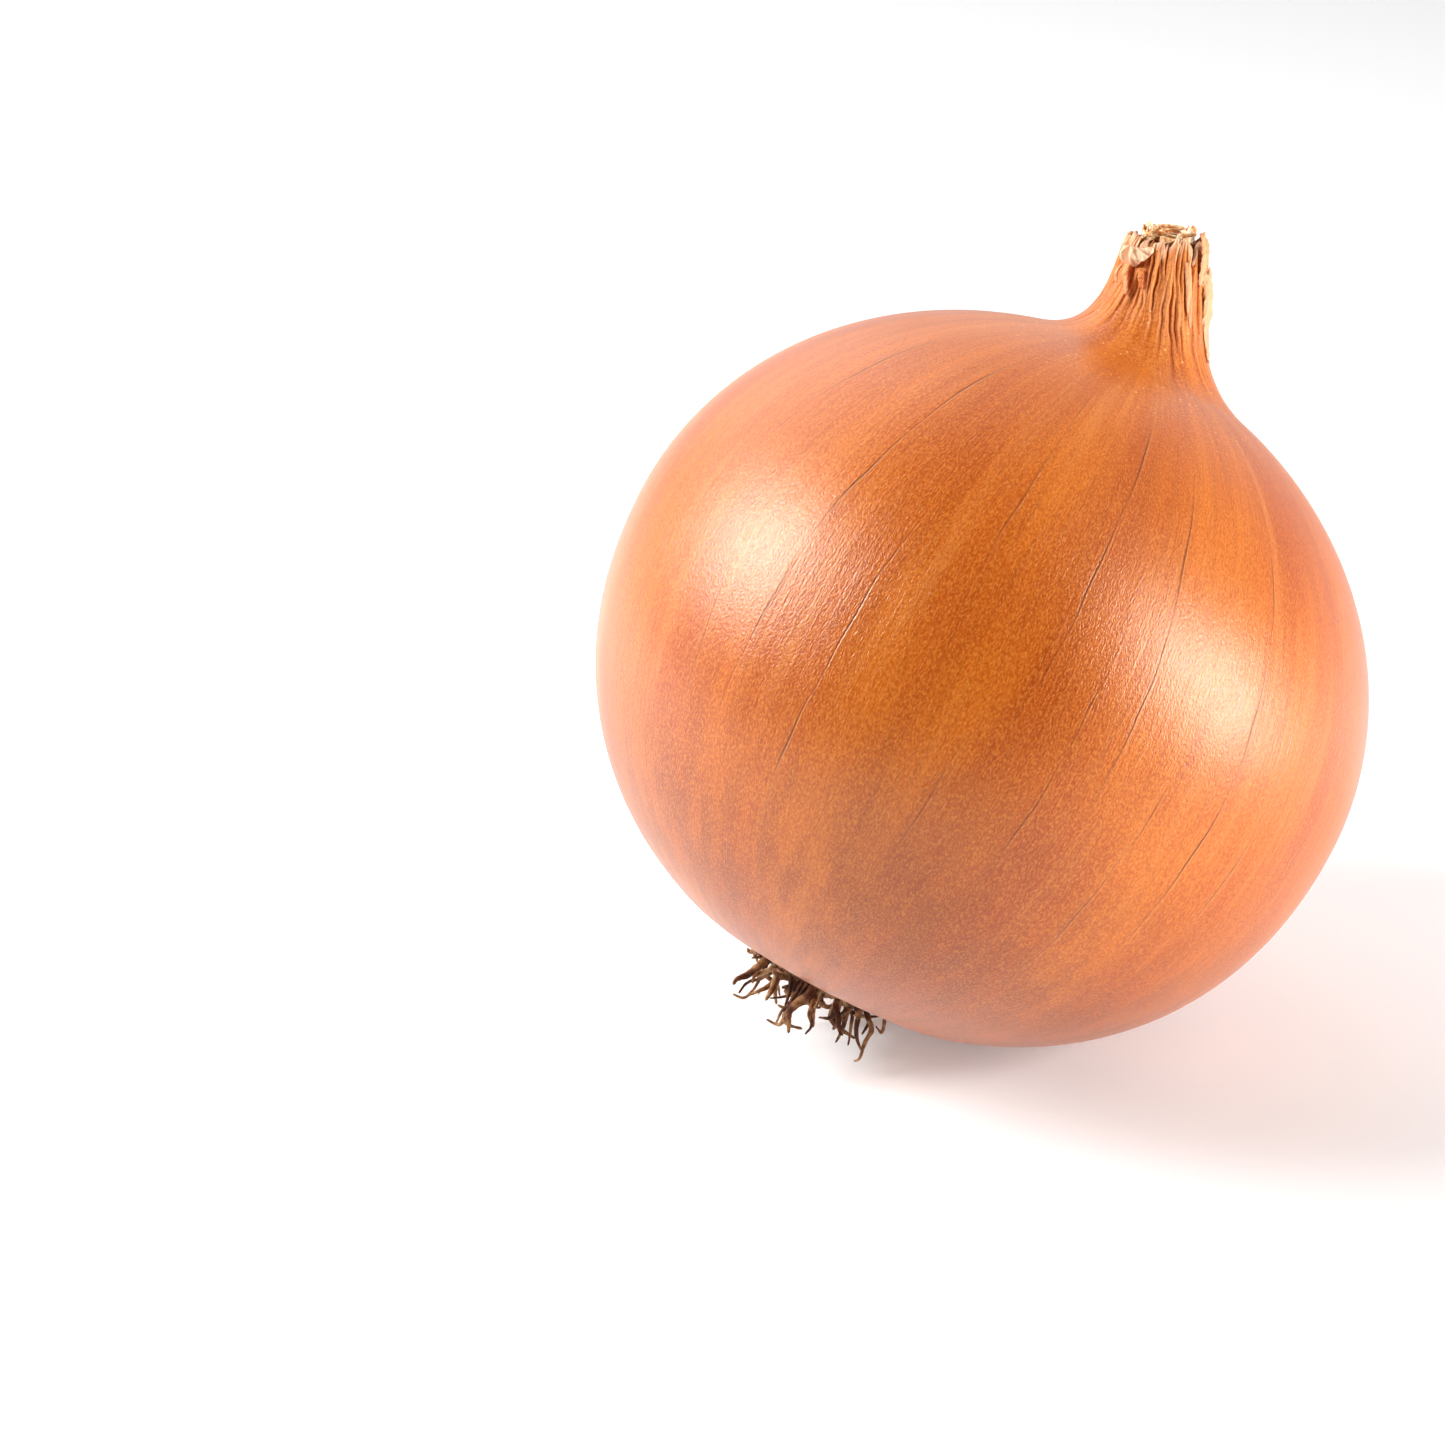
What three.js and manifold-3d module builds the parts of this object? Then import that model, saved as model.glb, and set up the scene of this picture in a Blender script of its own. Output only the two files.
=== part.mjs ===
// A whole brown onion as it lies on a table: a globe bulb in papery skin that draws up into a dry neck,
// the dry leaf ends that stand in the neck's mouth, and the tuft of dry roots under the bulb.
// Millimetres, +Z up. The onion leans on a small flat spot on its belly, whose centre is the origin.
import * as THREE from "three";
import { mergeVertices } from "three/addons/utils/BufferGeometryUtils.js";
import Module from "manifold-3d";

const { sin, cos, tan, atan, atan2, hypot, sqrt, PI } = Math;
const { degToRad, smoothstep, lerp } = THREE.MathUtils;

// The bulb, along its own axis: 0 is the widest ring, positive runs to the neck, negative to the roots.
const BULB_RADIUS = 40;
const SHOULDER_HEIGHT = 36; // a half-ellipse above the widest ring
const BELLY_DEPTH = 37.2; // below it, a half-ellipse that BELLY_FULLNESS squares a little
const BELLY_FULLNESS = 2.15; // 2 would be a plain ellipse
const ROOT_END_DEPTH = 36.2; // where the belly is flattened round the roots
const ROOT_DISH_RADIUS = 7.2;
const ROOT_DISH_DEPTH = 1.1;

// The dry neck. Its flare starts where the shoulder's ellipse has turned through FLARE_START.
const FLARE_START = degToRad(73);
const NECK_RADIUS = 3.5;
const NECK_TOP = 47.3;
const MOUTH_DEPTH = 3.2;
const MOUTH_WALL = 0.6;
const RIBS = 14;
const RIB_DEPTH = 0.22;
const RIM_RAGGED = 0.4;
const NECK_LEAN = degToRad(20);
const NECK_LEAN_START = 33.5;
const NECK_LEAN_EASE = 3; // the lean comes on over about this much height
const NECK_LEANS_TOWARDS = degToRad(190);
const RIM_TIP = degToRad(25); // the mouth tips further than the neck leans

// How the onion lies: its axis leans from upright, towards this heading from +X.
const LEAN = degToRad(31.9);
const LEANS_TOWARDS = degToRad(29.7);
const REST_SPOT_DEPTH = 0.9;

// Dry leaf ends in the neck's mouth, and dry roots in the dish.
const LEAF_ENDS = 7;
const LEAF_END_WIDTH = 1.7;
const LEAF_END_THICKNESS = 0.4;
const LEAF_END_HEIGHT = 3.8;
const ROOTS = 24;
const ROOT_RADIUS = 0.45;
const ROOT_LENGTH = 6.5;
const ROOT_TABLE_CLEARANCE = 0.8;
const GAP = 0.35; // between pieces that touch
const GOLDEN_ANGLE = PI * (3 - sqrt(5));

const FACETS_AROUND = 5 * RIBS;
const wasm = await Module();
wasm.setup();

// ---- joining and cutting ----

function solidOf(geometry) {
  const bare = geometry.clone();
  bare.deleteAttribute("normal");
  bare.deleteAttribute("uv");
  const merged = mergeVertices(bare, 1e-4);
  return new wasm.Manifold(
    new wasm.Mesh({
      numProp: 3,
      vertProperties: merged.attributes.position.array,
      triVerts: new Uint32Array(merged.index.array),
    }),
  );
}

function geometryOf(solid) {
  const mesh = solid.getMesh();
  const geometry = new THREE.BufferGeometry();
  geometry.setAttribute("position", new THREE.BufferAttribute(mesh.vertProperties, 3));
  geometry.setIndex(new THREE.BufferAttribute(mesh.triVerts, 1));
  geometry.computeVertexNormals();
  return geometry;
}

// ---- how the neck dried ----

// Moves each vertex of a geometry by a function of its place.
function moved(geometry, move) {
  const places = geometry.attributes.position;
  const point = new THREE.Vector3();
  for (let i = 0; i < places.count; i++) {
    point.fromBufferAttribute(places, i);
    move(point);
    places.setXYZ(i, point.x, point.y, point.z);
  }
  geometry.computeVertexNormals();
  return geometry;
}

// The ribs of the shrunken neck, and its ragged rim.
function shrink(point) {
  const radius = hypot(point.x, point.y);
  if (radius < 1e-6) return;
  const around = atan2(point.y, point.x);
  const onNeck = smoothstep(point.z, 35, 41);
  const outside = smoothstep(radius, NECK_RADIUS - MOUTH_WALL, NECK_RADIUS - 0.1);
  const scale = 1 + (RIB_DEPTH * sin(RIBS * around) * onNeck * outside) / radius;
  point.x *= scale;
  point.y *= scale;
  const nearRim = smoothstep(point.z, NECK_TOP - 2, NECK_TOP) * smoothstep(radius, 2, 3);
  point.z += RIM_RAGGED * nearRim * (0.6 * sin(3 * around + 1) + 0.4 * sin(8 * around));
}

// The neck leans over from its foot, and its mouth tips with it.
function leanOver(point) {
  const side = new THREE.Vector3(cos(NECK_LEANS_TOWARDS), sin(NECK_LEANS_TOWARDS), 0);
  const across = point.dot(side);
  const past = Math.max(point.z - NECK_LEAN_START, 0);
  const tipped = smoothstep(point.z, 38, NECK_TOP);
  point.addScaledVector(side, (tan(NECK_LEAN) * past ** 2) / (past + NECK_LEAN_EASE));
  point.z -= across * sin(RIM_TIP) * tipped;
}

// ---- how the onion lies ----

// A point of the belly's outline, radius against height, at an angle below the widest ring.
function bellyPoint(angle) {
  const power = 2 / BELLY_FULLNESS;
  return new THREE.Vector2(BULB_RADIUS * cos(angle) ** power, -BELLY_DEPTH * sin(angle) ** power);
}

// The lowest point of the leaning belly is where its outline runs level. The rest spot is that point,
// pressed in.
const leanAxis = new THREE.Vector3(-sin(LEANS_TOWARDS), cos(LEANS_TOWARDS), 0);
const leaning = new THREE.Quaternion().setFromAxisAngle(leanAxis, LEAN);
const steepness = (BELLY_DEPTH * cos(LEAN)) / (BULB_RADIUS * sin(LEAN));
const lowest = bellyPoint(atan(steepness ** (1 / (2 - 2 / BELLY_FULLNESS))));
const restSpot = new THREE.Vector3(lowest.x, 0, lowest.y)
  .applyAxisAngle(new THREE.Vector3(0, 0, 1), LEANS_TOWARDS)
  .applyQuaternion(leaning);
restSpot.z += REST_SPOT_DEPTH;
const centreHeight = -restSpot.z;

// How far along the bulb's axis a root at x, y may reach and still clear the table.
function tableLimit(x, y) {
  const downhill = x * cos(LEANS_TOWARDS) + y * sin(LEANS_TOWARDS);
  return (ROOT_TABLE_CLEARANCE + ROOT_RADIUS - centreHeight + downhill * sin(LEAN)) / cos(LEAN);
}

// ---- bulb ----

// The half outline, radius against height, from the middle of the root dish to the floor of the mouth.
function bulbOutline() {
  const dishFloor = ROOT_DISH_DEPTH - ROOT_END_DEPTH;
  const points = [
    new THREE.Vector2(0, dishFloor),
    new THREE.Vector2(ROOT_DISH_RADIUS - 1.7, dishFloor),
    new THREE.Vector2(ROOT_DISH_RADIUS, -ROOT_END_DEPTH),
  ];
  const bellySteps = 20;
  for (let i = 0; i <= bellySteps; i++) {
    const point = bellyPoint(degToRad(lerp(76, 0, i / bellySteps)));
    const nearRoots = smoothstep(-point.y / BELLY_DEPTH, 0.92, 0.99);
    point.y += (BELLY_DEPTH - ROOT_END_DEPTH) * nearRoots;
    points.push(point);
  }
  const shoulder = new THREE.Path();
  shoulder.absellipse(0, 0, BULB_RADIUS, SHOULDER_HEIGHT, 0, FLARE_START);
  points.push(...shoulder.getSpacedPoints(18).slice(1));
  const foot = points.at(-1);
  const uphill = new THREE.Vector2(
    -BULB_RADIUS * sin(FLARE_START),
    SHOULDER_HEIGHT * cos(FLARE_START),
  ).normalize();
  const flare = new THREE.CubicBezierCurve(
    foot,
    foot.clone().addScaledVector(uphill, 5.2),
    new THREE.Vector2(NECK_RADIUS + 1.1, NECK_TOP - 6.8),
    new THREE.Vector2(NECK_RADIUS, NECK_TOP),
  );
  points.push(...flare.getPoints(14).slice(1));
  const innerRadius = NECK_RADIUS - MOUTH_WALL;
  points.push(new THREE.Vector2(innerRadius, NECK_TOP - 0.15));
  points.push(new THREE.Vector2(innerRadius - 0.3, NECK_TOP - MOUTH_DEPTH));
  points.push(new THREE.Vector2(0, NECK_TOP - MOUTH_DEPTH));
  return points;
}

// A block below table height, in the bulb's own frame, that presses the rest spot flat.
function tableBlock() {
  const size = 4 * BULB_RADIUS;
  const block = new THREE.BoxGeometry(size, size, size);
  block.translate(0, 0, -size / 2 - centreHeight);
  block.applyQuaternion(leaning.clone().invert());
  return solidOf(block);
}

function bulbGeometry() {
  const turned = new THREE.LatheGeometry(bulbOutline(), FACETS_AROUND);
  turned.rotateX(PI / 2);
  moved(turned, shrink);
  moved(turned, leanOver);
  return geometryOf(solidOf(turned).subtract(tableBlock()));
}

// ---- dry leaf ends, standing in the mouth of the neck ----

// One leaf end: a blade that tapers upwards, standing on its foot at y = 0.
function leafEndGeometry(height) {
  const half = LEAF_END_WIDTH / 2;
  const blade = new THREE.Shape();
  blade.moveTo(-half, 0);
  blade.lineTo(half, 0);
  blade.quadraticCurveTo(half, height * 0.7, half * 0.25, height);
  blade.lineTo(-half * 0.25, height);
  blade.quadraticCurveTo(-half, height * 0.7, -half, 0);
  return new THREE.ExtrudeGeometry(blade, {
    depth: LEAF_END_THICKNESS,
    bevelEnabled: false,
    curveSegments: 4,
  });
}

function leafEndsGeometry() {
  const floor = NECK_TOP - MOUTH_DEPTH + GAP;
  const stubHeight = 1.6;
  const stubRadius = NECK_RADIUS - MOUTH_WALL - 0.3 - GAP;
  const stub = new THREE.CylinderGeometry(stubRadius * 0.9, stubRadius, stubHeight, 20);
  stub.rotateX(PI / 2);
  stub.translate(0, 0, floor + stubHeight / 2);
  let ends = solidOf(moved(stub, leanOver));
  for (let i = 0; i < LEAF_ENDS; i++) {
    const blade = leafEndGeometry(LEAF_END_HEIGHT * (0.8 + 0.2 * sin(5 * i)));
    blade.translate(0, stubHeight / 3, -LEAF_END_THICKNESS / 2);
    blade.rotateX(PI / 2 - 0.15 * cos(3 * i)); // stands up, leaning in or out
    blade.translate(0, i === 0 ? 0 : -stubRadius / 2, 0);
    blade.rotateZ(i * GOLDEN_ANGLE);
    blade.translate(0, 0, floor);
    ends = ends.add(solidOf(moved(blade, leanOver)));
  }
  return geometryOf(ends);
}

// ---- root tuft ----

// One dry root: it leaves the dish downwards, then curls outwards and to one side.
function rootGeometry(index) {
  const around = index * GOLDEN_ANGLE;
  const out = (ROOT_DISH_RADIUS - 2.6) * sqrt((index + 0.5) / ROOTS);
  const curl = 5 * sin(4.1 * index);
  const length = ROOT_LENGTH * (0.75 + 0.25 * sin(2.3 * index + 1));
  const foot = ROOT_DISH_DEPTH - ROOT_END_DEPTH - GAP - 0.8;
  const points = [];
  for (let step = 0; step <= 4; step++) {
    const share = step / 4;
    const spread = out + length * 0.75 * share ** 1.6;
    const turn = around + (curl * share ** 2) / (spread + 1);
    const x = spread * cos(turn);
    const y = spread * sin(turn);
    const z = foot - length * 0.8 * share * (1 - 0.35 * share);
    points.push(new THREE.Vector3(x, y, step ? Math.max(z, tableLimit(x, y)) : foot));
  }
  const section = new THREE.Shape();
  section.absarc(0, 0, ROOT_RADIUS, 0, 2 * PI);
  return new THREE.ExtrudeGeometry(section, {
    steps: 7,
    curveSegments: 3,
    extrudePath: new THREE.CatmullRomCurve3(points),
  });
}

// The root plate, with every root grown into it.
function rootTuftGeometry() {
  const top = ROOT_DISH_DEPTH - ROOT_END_DEPTH - GAP;
  const radius = ROOT_DISH_RADIUS - 1.7 - GAP;
  const plateOutline = [
    new THREE.Vector2(0, top - 1.3),
    new THREE.Vector2(radius * 0.85, top - 1.2),
    new THREE.Vector2(radius, top - 0.8),
    new THREE.Vector2(radius - 0.2, top),
    new THREE.Vector2(0, top),
  ];
  const plate = new THREE.LatheGeometry(plateOutline, 24);
  plate.rotateX(PI / 2);
  let tuft = solidOf(plate);
  for (let i = 0; i < ROOTS; i++) tuft = tuft.add(solidOf(rootGeometry(i)));
  return geometryOf(tuft);
}

// ---- the onion ----

const drySkin = new THREE.MeshStandardMaterial({ color: 0xd9793a, roughness: 0.45, metalness: 0 });
const dryLeaf = new THREE.MeshStandardMaterial({ color: 0xe2c08a, roughness: 0.8, metalness: 0 });
const dryRoot = new THREE.MeshStandardMaterial({ color: 0x8a6242, roughness: 0.9, metalness: 0 });

const onion = new THREE.Group();

function addPiece(name, geometry, material) {
  const piece = new THREE.Mesh(geometry, material);
  piece.name = name;
  onion.add(piece);
}

addPiece("bulb", bulbGeometry(), drySkin);
addPiece("neck_leaf_ends", leafEndsGeometry(), dryLeaf);
addPiece("root_tuft", rootTuftGeometry(), dryRoot);

onion.quaternion.copy(leaning);
onion.position.copy(restSpot).negate();

export default onion;
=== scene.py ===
import math

import bpy
import numpy as np
from mathutils import Matrix, Vector


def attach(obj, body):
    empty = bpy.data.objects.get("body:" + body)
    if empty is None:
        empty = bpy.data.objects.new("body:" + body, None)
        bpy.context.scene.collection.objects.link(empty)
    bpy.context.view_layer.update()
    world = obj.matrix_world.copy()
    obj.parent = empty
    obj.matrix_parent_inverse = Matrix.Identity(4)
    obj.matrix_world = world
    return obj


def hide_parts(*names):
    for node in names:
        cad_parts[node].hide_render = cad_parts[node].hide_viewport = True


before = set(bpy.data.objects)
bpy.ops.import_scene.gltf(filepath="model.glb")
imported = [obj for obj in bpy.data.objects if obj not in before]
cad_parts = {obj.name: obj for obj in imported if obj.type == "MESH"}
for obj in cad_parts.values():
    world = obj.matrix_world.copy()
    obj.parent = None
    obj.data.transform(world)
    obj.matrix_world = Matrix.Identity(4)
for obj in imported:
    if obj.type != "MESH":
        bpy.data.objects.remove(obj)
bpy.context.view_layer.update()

# ---- Skin ----
# The outermost dry leaf of the bulb, one closed papery shell from the roots to the neck. It dried tight
# round the bulb, so it is smooth below and creased where it shrank round the neck. Lengths are in
# millimetres along the bulb's own axis, 0 at the widest ring, until the onion is laid down.

MM = 0.001
BULB_RADIUS = 40.0
SHOULDER_HEIGHT = 36.0
BELLY_DEPTH = 37.2
BELLY_FULLNESS = 2.15  # 2 would be a plain ellipse
ROOT_END_DEPTH = 36.2
ROOT_DISH_RADIUS = 7.2
ROOT_DISH_DEPTH = 1.1
ROOT_DISH_WALL = 1.7
BELLY_ENDS_AT = 77  # degrees below the widest ring, where the root dish begins
FLARE_START = math.radians(73)
FLARE_SLOPE_LENGTH = 5.2  # how far the shoulder's own slope carries on before the skin turns up the neck
FLARE_FOOT_WIDTH = 1.1
FLARE_FOOT_DROP = 6.8
NECK_RADIUS = 3.5
NECK_TOP = 47.3
MOUTH_WALL = 0.45
MOUTH_DEPTH = 3.2
RIM_ROUNDING = 0.12
NECK_LEAN = math.radians(20)
NECK_LEAN_START = 33.5
NECK_LEAN_EASE = 3.0
NECK_LEANS_TOWARDS = math.radians(190)
RIM_TIP = math.radians(25)
LEAN = math.radians(31.9)
LEANS_TOWARDS = math.radians(29.7)
REST_SPOT_DEPTH = 0.9
REST_SPOT_SOFTNESS = 0.12
SKIN_SEGMENTS = 440
SKIN_RINGS = 220


def smoothstep(value, low, high):
    """Eases from 0 at the low limit to 1 at the high one."""
    share = np.clip((value - low) / (high - low), 0, 1)
    return share * share * (3 - 2 * share)


def belly_point(angle):
    """Radius and height of the belly's outline at an angle below the widest ring."""
    power = 2 / BELLY_FULLNESS
    return BULB_RADIUS * np.cos(angle) ** power, -BELLY_DEPTH * np.sin(angle) ** power


def skin_outline():
    """The skin's half outline, radius and height, from the middle of the root dish to the mouth's floor."""
    angle = np.radians(np.linspace(BELLY_ENDS_AT, 0, 400))
    belly_radius, belly_height = belly_point(angle)
    near_roots = smoothstep(-belly_height / BELLY_DEPTH, 0.92, 0.99)
    belly = np.stack([belly_radius, belly_height + (BELLY_DEPTH - ROOT_END_DEPTH) * near_roots], 1)
    dish_floor = ROOT_DISH_DEPTH - ROOT_END_DEPTH
    dish = np.array(
        [
            [0, dish_floor],
            [ROOT_DISH_RADIUS - ROOT_DISH_WALL, dish_floor],
            [ROOT_DISH_RADIUS, -ROOT_END_DEPTH],
        ]
    )
    angle = np.linspace(0, FLARE_START, 300)[1:]
    shoulder = np.stack([BULB_RADIUS * np.cos(angle), SHOULDER_HEIGHT * np.sin(angle)], 1)
    foot = shoulder[-1]
    uphill = np.array(
        [-BULB_RADIUS * math.sin(FLARE_START), SHOULDER_HEIGHT * math.cos(FLARE_START)]
    )
    first = foot + FLARE_SLOPE_LENGTH * uphill / np.linalg.norm(uphill)
    second = np.array([NECK_RADIUS + FLARE_FOOT_WIDTH, NECK_TOP - FLARE_FOOT_DROP])
    top = np.array([NECK_RADIUS, NECK_TOP])
    share = np.linspace(0, 1, 200)[1:, None]
    flare = (
        (1 - share) ** 3 * foot
        + 3 * (1 - share) ** 2 * share * first
        + 3 * (1 - share) * share**2 * second
        + share**3 * top
    )
    inside = NECK_RADIUS - MOUTH_WALL
    mouth = np.array(
        [
            [NECK_RADIUS - MOUTH_WALL / 2, NECK_TOP + RIM_ROUNDING],
            [inside, NECK_TOP],
            [inside - 0.2, NECK_TOP - MOUTH_DEPTH + 0.4],
            [inside - 0.6, NECK_TOP - MOUTH_DEPTH],
            [0, NECK_TOP - MOUTH_DEPTH],
        ]
    )
    return np.vstack([dish, belly, shoulder, flare, mouth])


def lay_rings(outline, rings):
    """Places rings along an outline, closer together where the shape is finer."""
    step = np.linalg.norm(np.diff(outline, axis=0), axis=1)
    length = np.append(0, np.cumsum(step))
    even = np.linspace(0, length[-1], 6000)
    radius = np.interp(even, length, outline[:, 0])
    height = np.interp(even, length, outline[:, 1])
    # millimetres between rings: on the belly, at the root end, the shoulder, the neck and in the mouth
    pitch = np.full(len(even), 0.95)
    pitch[(height < 0) & (radius < 13)] = 0.55
    pitch[height > 26] = 0.5
    pitch[height > 36] = 0.24
    pitch[(height > NECK_TOP - MOUTH_DEPTH - 0.1) & (radius < NECK_RADIUS - 0.3)] = 0.3
    count = np.cumsum(1 / pitch)
    place = np.interp(np.linspace(count[0], count[-1], rings + 1), count, even)
    return (
        np.interp(place, length, outline[:, 0]),
        np.interp(place, length, outline[:, 1]),
        place,
    )


def ripples(around, waves, seed, drift=0.0, height=0.0):
    """A random wavy line round the bulb that closes on itself, with an overall size of about 1."""
    dice = np.random.default_rng(seed)
    total = 0
    for count in waves:
        phase, swing = dice.uniform(0, 2 * math.pi), dice.uniform(-drift, drift)
        total = total + dice.uniform(0.6, 1.2) * np.cos(count * around + phase + swing * height)
    return total / math.sqrt(len(waves) / 2)


# Veins: each is a fine line at nearly one angle round the bulb, from one height to another.
VEINS = (
    # angle in degrees, lower and upper height, drift in degrees over its length, darkness
    (-150.5, 12, 30, 1.5, 0.8),
    (-141.0, -16, 10, -2.0, 0.5),
    (-131.5, -14, 31, 3.5, 1.0),
    (-120.0, -16, 14, 2.0, 1.0),
    (-108.2, 6, 32, -1.5, 0.5),
    (-99.5, -20, -2, 2.0, 0.5),
    (-92.8, 3, 31, 1.5, 0.9),
    (-86.0, -12, 8, 1.0, 0.6),
    (-79.3, -4, 30, -1.0, 0.8),
    (-71.0, -24, 2, 1.5, 0.6),
    (-60.5, -16, 26, 1.0, 1.0),
    (-52.0, -12, 14, 1.0, 0.6),
    (-38.0, -5, 24, 1.0, 0.4),
)
VEINS_ROUND_THE_BACK = 24

VEIN_RIDGE = 0.06
FINE_FOLDS = 0.045
WIDE_FOLDS = 0.10
CREASE_DEPTH = 0.11
NECK_OUT_OF_ROUND = 0.22
# pieces torn out of the rim: their angle and half width in degrees, and their depth. The first is
# folded back as a flap, the second is a slit beside a free strip.
TORN_OUT = ((-146, 20, 1.3), (-56, 7, 1.6))


def shrivel(around, radius, height, outside):
    """Creases the neck, frays its rim and puts the bulb gently out of round. Also gives the painted
    shade of its creases: how deep in a crease each point lies, from 0 to 1."""
    out_of_round = 0.10 * ripples(around, (2, 3, 5), 1) + 0.035 * ripples(around, (9, 13, 17), 2)
    # the skin dried a little flatter between its veins, so it turns slightly at each
    for degrees, low, high, drift, dark in VEINS:
        to_vein = BULB_RADIUS * np.abs(around - math.radians(degrees))
        along_vein = smoothstep(height, low - 6, low + 6) * (1 - smoothstep(height, high - 8, high + 4))
        out_of_round = out_of_round + VEIN_RIDGE * dark * np.exp(-to_vein / 2.0) * along_vein
    radius = radius + out_of_round * radius / BULB_RADIUS
    # the folds start at no even height, and waver on their way up
    onset = 37.0 + 1.6 * ripples(around, (3, 5, 8, 12), 3)
    on_neck = smoothstep(height, 34, 43)
    creased = smoothstep(height, onset - 1.5, onset + 4)
    waver = around + 0.012 * np.sin(1.3 * height + 5 * around)
    waver = waver + 0.008 * np.sin(2.9 * height - 9 * around)
    folds = ripples(waver, (29, 37, 44, 52, 61), 4, 0.8, height - 40)
    wide_folds = ripples(waver, (9, 13, 17), 5, 0.1, height - 40)
    crease = outside * smoothstep(-folds, 0.4, 1.4)
    neck = FINE_FOLDS * folds + WIDE_FOLDS * wide_folds
    neck = neck + NECK_OUT_OF_ROUND * np.cos(2 * around + 1.0) + 0.14 * ripples(around, (3, 5, 7), 9)
    # inside the mouth the folds are half as deep
    felt = 1 - 0.5 * (1 - outside)
    radius = radius + felt * neck * on_neck - CREASE_DEPTH * crease * creased
    # painted shade down in the creases, from where the folds begin
    shaded = crease * smoothstep(height, onset - 2, onset + 3)
    fray = 0.35 * ripples(around, (3, 5, 8), 6) + 0.16 * ripples(around, (19, 27, 34), 7)
    tears = -0.55 * np.exp(-((ripples(around, (4, 6, 9, 11), 8) / 0.18) ** 2))
    for degrees, half_width, depth in TORN_OUT:
        tears = tears - depth * np.exp(-(((np.degrees(around) - degrees) / half_width) ** 4))
    near_rim = smoothstep(height, NECK_TOP - 2.2, NECK_TOP) * smoothstep(radius, 1.5, 2.6)
    return radius, height + (fray + tears) * near_rim, shaded


def lean_over(points):
    """The neck leans over from its foot, and its mouth tips with it."""
    side = np.array([math.cos(NECK_LEANS_TOWARDS), math.sin(NECK_LEANS_TOWARDS), 0])
    across = points @ side
    past = np.maximum(points[:, 2] - NECK_LEAN_START, 0)
    tipped = smoothstep(points[:, 2], 38, NECK_TOP)
    shift = math.tan(NECK_LEAN) * past**2 / (past + NECK_LEAN_EASE)
    leaned = points + shift[:, None] * side
    leaned[:, 2] -= across * math.sin(RIM_TIP) * tipped
    return leaned


leaning = np.array(
    Matrix.Rotation(LEAN, 3, Vector((-math.sin(LEANS_TOWARDS), math.cos(LEANS_TOWARDS), 0)))
)
steepness = BELLY_DEPTH * math.cos(LEAN) / (BULB_RADIUS * math.sin(LEAN))
lowest_radius, lowest_height = belly_point(math.atan(steepness ** (1 / (2 - 2 / BELLY_FULLNESS))))
rest_spot = leaning @ np.array(
    [
        lowest_radius * math.cos(LEANS_TOWARDS),
        lowest_radius * math.sin(LEANS_TOWARDS),
        lowest_height,
    ]
)
rest_spot[2] += REST_SPOT_DEPTH


def laid_down(points):
    """From the bulb's own millimetres to the table's metres, pressed flat where the onion rests."""
    placed = points @ leaning.T - rest_spot
    lift = np.maximum(placed[:, 2] / REST_SPOT_SOFTNESS, -30)
    pressed = np.where(lift > 30, lift, np.log1p(np.exp(np.minimum(lift, 30))))
    placed[:, 2] = REST_SPOT_SOFTNESS * pressed
    return placed * MM


def places_of(piece):
    """The piece's points, one row each."""
    places = np.empty(3 * len(piece.data.vertices), np.float32)
    piece.data.vertices.foreach_get("co", places)
    return places.reshape(-1, 3).astype(float)


def reshape(piece, places):
    """Moves the piece's points to new places."""
    piece.data.vertices.foreach_set("co", places.astype(np.float32).ravel())
    piece.data.update()


def grid_ball(name, segments, rings):
    """Adds a ball whose grid is then drawn out into a shape: its points' angle round it, and their ring."""
    bpy.ops.object.select_all(action="DESELECT")
    bpy.ops.mesh.primitive_uv_sphere_add(segments=segments, ring_count=rings, radius=1)
    piece = bpy.context.object
    piece.name = piece.data.name = name
    places = places_of(piece)
    around = np.arctan2(places[:, 1], places[:, 0])
    ring = np.rint(np.arccos(np.clip(-places[:, 2], -1, 1)) / math.pi * rings).astype(int)
    return piece, around, ring


def note(piece, name, values):
    """Stores one vector for each point, which the material reads."""
    layer = piece.data.attributes.new(name, "FLOAT_VECTOR", "POINT")
    layer.data.foreach_set("vector", values.astype(np.float32).ravel())


skin, around, ring = grid_ball("skin", SKIN_SEGMENTS, SKIN_RINGS)
ring_radius, ring_height, ring_length = lay_rings(skin_outline(), SKIN_RINGS)
rim_ring = int(np.argmax(ring_height))
radius, height = ring_radius[ring], ring_height[ring]
outside = (ring <= rim_ring).astype(float)
grown_height = height
radius, height, crease_shade = shrivel(around, radius, height, outside)
upright = np.stack([radius * np.cos(around), radius * np.sin(around), height], 1)
reshape(skin, laid_down(lean_over(upright)))
bpy.ops.object.shade_smooth()

# Growth runs round the bulb and up it, so the material's grain follows the skin as it grew.
note(
    skin,
    "growth",
    np.stack([np.cos(around), np.sin(around), ring_length[ring] / BULB_RADIUS], 1),
)


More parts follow.
